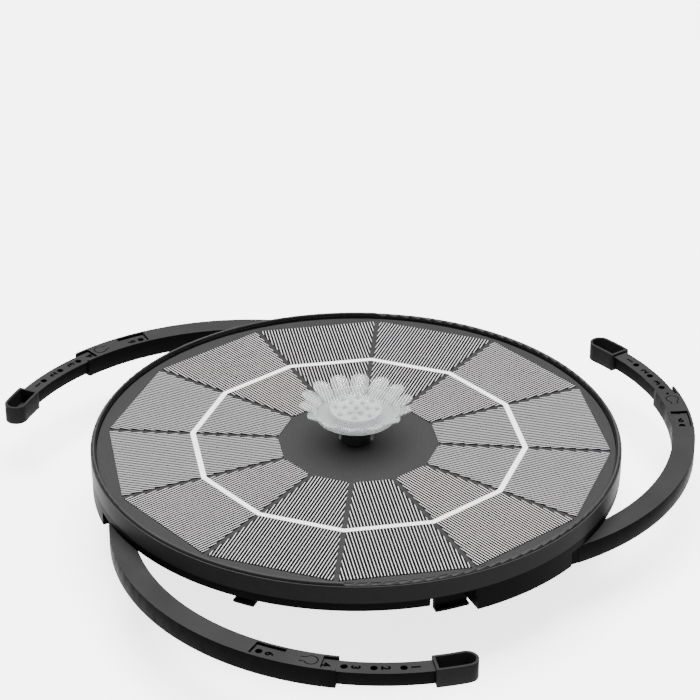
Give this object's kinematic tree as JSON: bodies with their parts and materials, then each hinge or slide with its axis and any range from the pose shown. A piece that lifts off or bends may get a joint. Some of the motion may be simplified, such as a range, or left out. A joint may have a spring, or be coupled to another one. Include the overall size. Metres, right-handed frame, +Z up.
{
  "type": "floating solar fountain pump",
  "caption": "Round floating solar fountain with a black rim, a ring of solar cells, a clear lotus diffuser over the outlet and curved telescopic spacer arms under the rim.",
  "frame": {"origin": "centre of the base ring that the pump well stands on", "axes": "+Z up through the outlet; +X lies on a gap between two solar cells; the front in use is any side"},
  "size_m": [0.2705, 0.2452, 0.0569],
  "materials": {
    "black_satin": "fine satin moulding texture",
    "black_soft": "soft matt elastomer",
    "panel_board": "dark grey laminate",
    "solar_cell": "dark monocrystalline cells with pale finger lines",
    "ribbon": "pale tinned ribbon",
    "panel_cover": "clear cast resin",
    "clear_plastic": "clear polished polycarbonate",
    "seal": "matt silicone",
    "steel": "stainless",
    "ceramic": "polished ceramic",
    "impeller": "natural moulded polymer",
    "magnet": "sintered ferrite",
    "copper": "enamelled copper winding",
    "circuit_board": "green solder mask",
    "battery": "heat-shrink sleeve",
    "components": "moulded epoxy",
    "button": "soft grey cap",
    "wire": "insulated lead",
    "arm_black": "satin moulding"
  },
  "bodies": {
    "float": {"top_shell": "black_satin", "hull": "black_satin", "shell_seal": "seal", "shell_screws": "steel", "backing_board": "panel_board", "busbar_ring": "ribbon", "panel_cover": "panel_cover", "solar_cell_1": "solar_cell", "solar_cell_2": "solar_cell", "solar_cell_3": "solar_cell", "solar_cell_4": "solar_cell", "solar_cell_5": "solar_cell", "solar_cell_6": "solar_cell", "solar_cell_7": "solar_cell", "solar_cell_8": "solar_cell", "solar_cell_9": "solar_cell", "solar_cell_10": "solar_cell", "solar_cell_11": "solar_cell", "solar_cell_12": "solar_cell", "outlet_collar": "black_soft", "riser_pipe": "black_satin", "riser_seals": "black_soft", "pump_body": "black_satin", "pump_front": "black_satin", "pump_gasket": "seal", "pump_shaft": "ceramic", "stator_core": "steel", "stator_coils": "copper", "pump_board": "circuit_board", "battery_pack": "battery", "control_board": "circuit_board", "board_components": "components", "switch_block": "components", "button_seal": "seal", "pump_cable": "black_soft", "battery_leads": "wire", "panel_leads": "wire", "cable_gland": "black_soft", "arm_pins": "steel", "arm_washers": "steel"},
    "rotor": {"impeller": "impeller", "rotor_magnet": "magnet", "rotor_bushes": "ceramic"},
    "lotus": {"lotus_bowl": "clear_plastic"},
    "spray_nozzle": {"spray_head": "clear_plastic"},
    "filter": {"filter_cover": "black_satin"},
    "button": {"power_button": "button"},
    "arm_1_sleeve": {"arm_sleeve_1": "arm_black"},
    "arm_1_slider": {"arm_slider_1": "arm_black", "arm_bumper_1": "black_soft"},
    "arm_1_latch": {"arm_latch_1": "arm_black"},
    "arm_2_sleeve": {"arm_sleeve_2": "arm_black"},
    "arm_2_slider": {"arm_slider_2": "arm_black", "arm_bumper_2": "black_soft"},
    "arm_2_latch": {"arm_latch_2": "arm_black"},
    "arm_3_sleeve": {"arm_sleeve_3": "arm_black"},
    "arm_3_slider": {"arm_slider_3": "arm_black", "arm_bumper_3": "black_soft"},
    "arm_3_latch": {"arm_latch_3": "arm_black"}
  },
  "joints": [
    {"name": "impeller_spin", "type": "hinge", "parent": "float", "child": "rotor", "pos_m": [0, -0.0062, 0.0148], "axis": [1, 0, 0], "continuous": true},
    {"name": "lotus_lift", "type": "slide", "parent": "float", "child": "lotus", "axis": [0, 0, 1], "range_m": [0, 0.012]},
    {"name": "spray_head_lift", "type": "slide", "parent": "lotus", "child": "spray_nozzle", "axis": [0, 0, 1], "range_m": [0, 0.01]},
    {"name": "filter_twist", "type": "hinge", "parent": "float", "child": "filter", "pos_m": [0, 0, 0.004], "axis": [0, 0, 1], "range_deg": [0, 20]},
    {"name": "power_button_press", "type": "slide", "parent": "float", "child": "button", "axis": [0, 0, 1], "range_m": [0, 0.0012], "stiffness_N_per_m": 300},
    {"name": "arm_1_swing", "type": "hinge", "parent": "float", "child": "arm_1_sleeve", "pos_m": [-0.08249, -0.04763, 0.0297], "axis": [0, 0, -1], "range_deg": [-15.5, 12]},
    {"name": "arm_1_reach", "type": "hinge", "parent": "arm_1_sleeve", "child": "arm_1_slider", "pos_m": [0.01195, -0.03519, 0.0297], "axis": [0, 0, 1], "range_deg": [-18.3, 12.2]},
    {"name": "arm_1_catch", "type": "hinge", "parent": "arm_1_sleeve", "child": "arm_1_latch", "pos_m": [-0.00839, -0.12833, 0.02945], "axis": [-0.1736, -0.9848, 0], "range_deg": [-4, 3], "stiffness_Nm_per_rad": 0.02},
    {"name": "arm_2_swing", "type": "hinge", "parent": "float", "child": "arm_2_sleeve", "pos_m": [0.08249, -0.04763, 0.0297], "axis": [0, 0, -1], "range_deg": [-19, 8.5]},
    {"name": "arm_2_reach", "type": "hinge", "parent": "arm_2_sleeve", "child": "arm_2_slider", "pos_m": [0.02923, 0.03134, 0.0297], "axis": [0, 0, 1], "range_deg": [-18.3, 12.2]},
    {"name": "arm_2_catch", "type": "hinge", "parent": "arm_2_sleeve", "child": "arm_2_latch", "pos_m": [0.12165, 0.0547, 0.02945], "axis": [0.9588, 0.284, 0], "range_deg": [-4, 3], "stiffness_Nm_per_rad": 0.02},
    {"name": "arm_3_swing", "type": "hinge", "parent": "float", "child": "arm_3_sleeve", "pos_m": [0, 0.09525, 0.0297], "axis": [0, 0, -1], "range_deg": [-21, 6.5]},
    {"name": "arm_3_reach", "type": "hinge", "parent": "arm_3_sleeve", "child": "arm_3_slider", "pos_m": [-0.04472, 0.01115, 0.0297], "axis": [0, 0, 1], "range_deg": [-18.3, 12.2]},
    {"name": "arm_3_catch", "type": "hinge", "parent": "arm_3_sleeve", "child": "arm_3_latch", "pos_m": [-0.10873, 0.08178, 0.02945], "axis": [-0.7009, 0.7133, 0], "range_deg": [-4, 3], "stiffness_Nm_per_rad": 0.02}
  ]
}
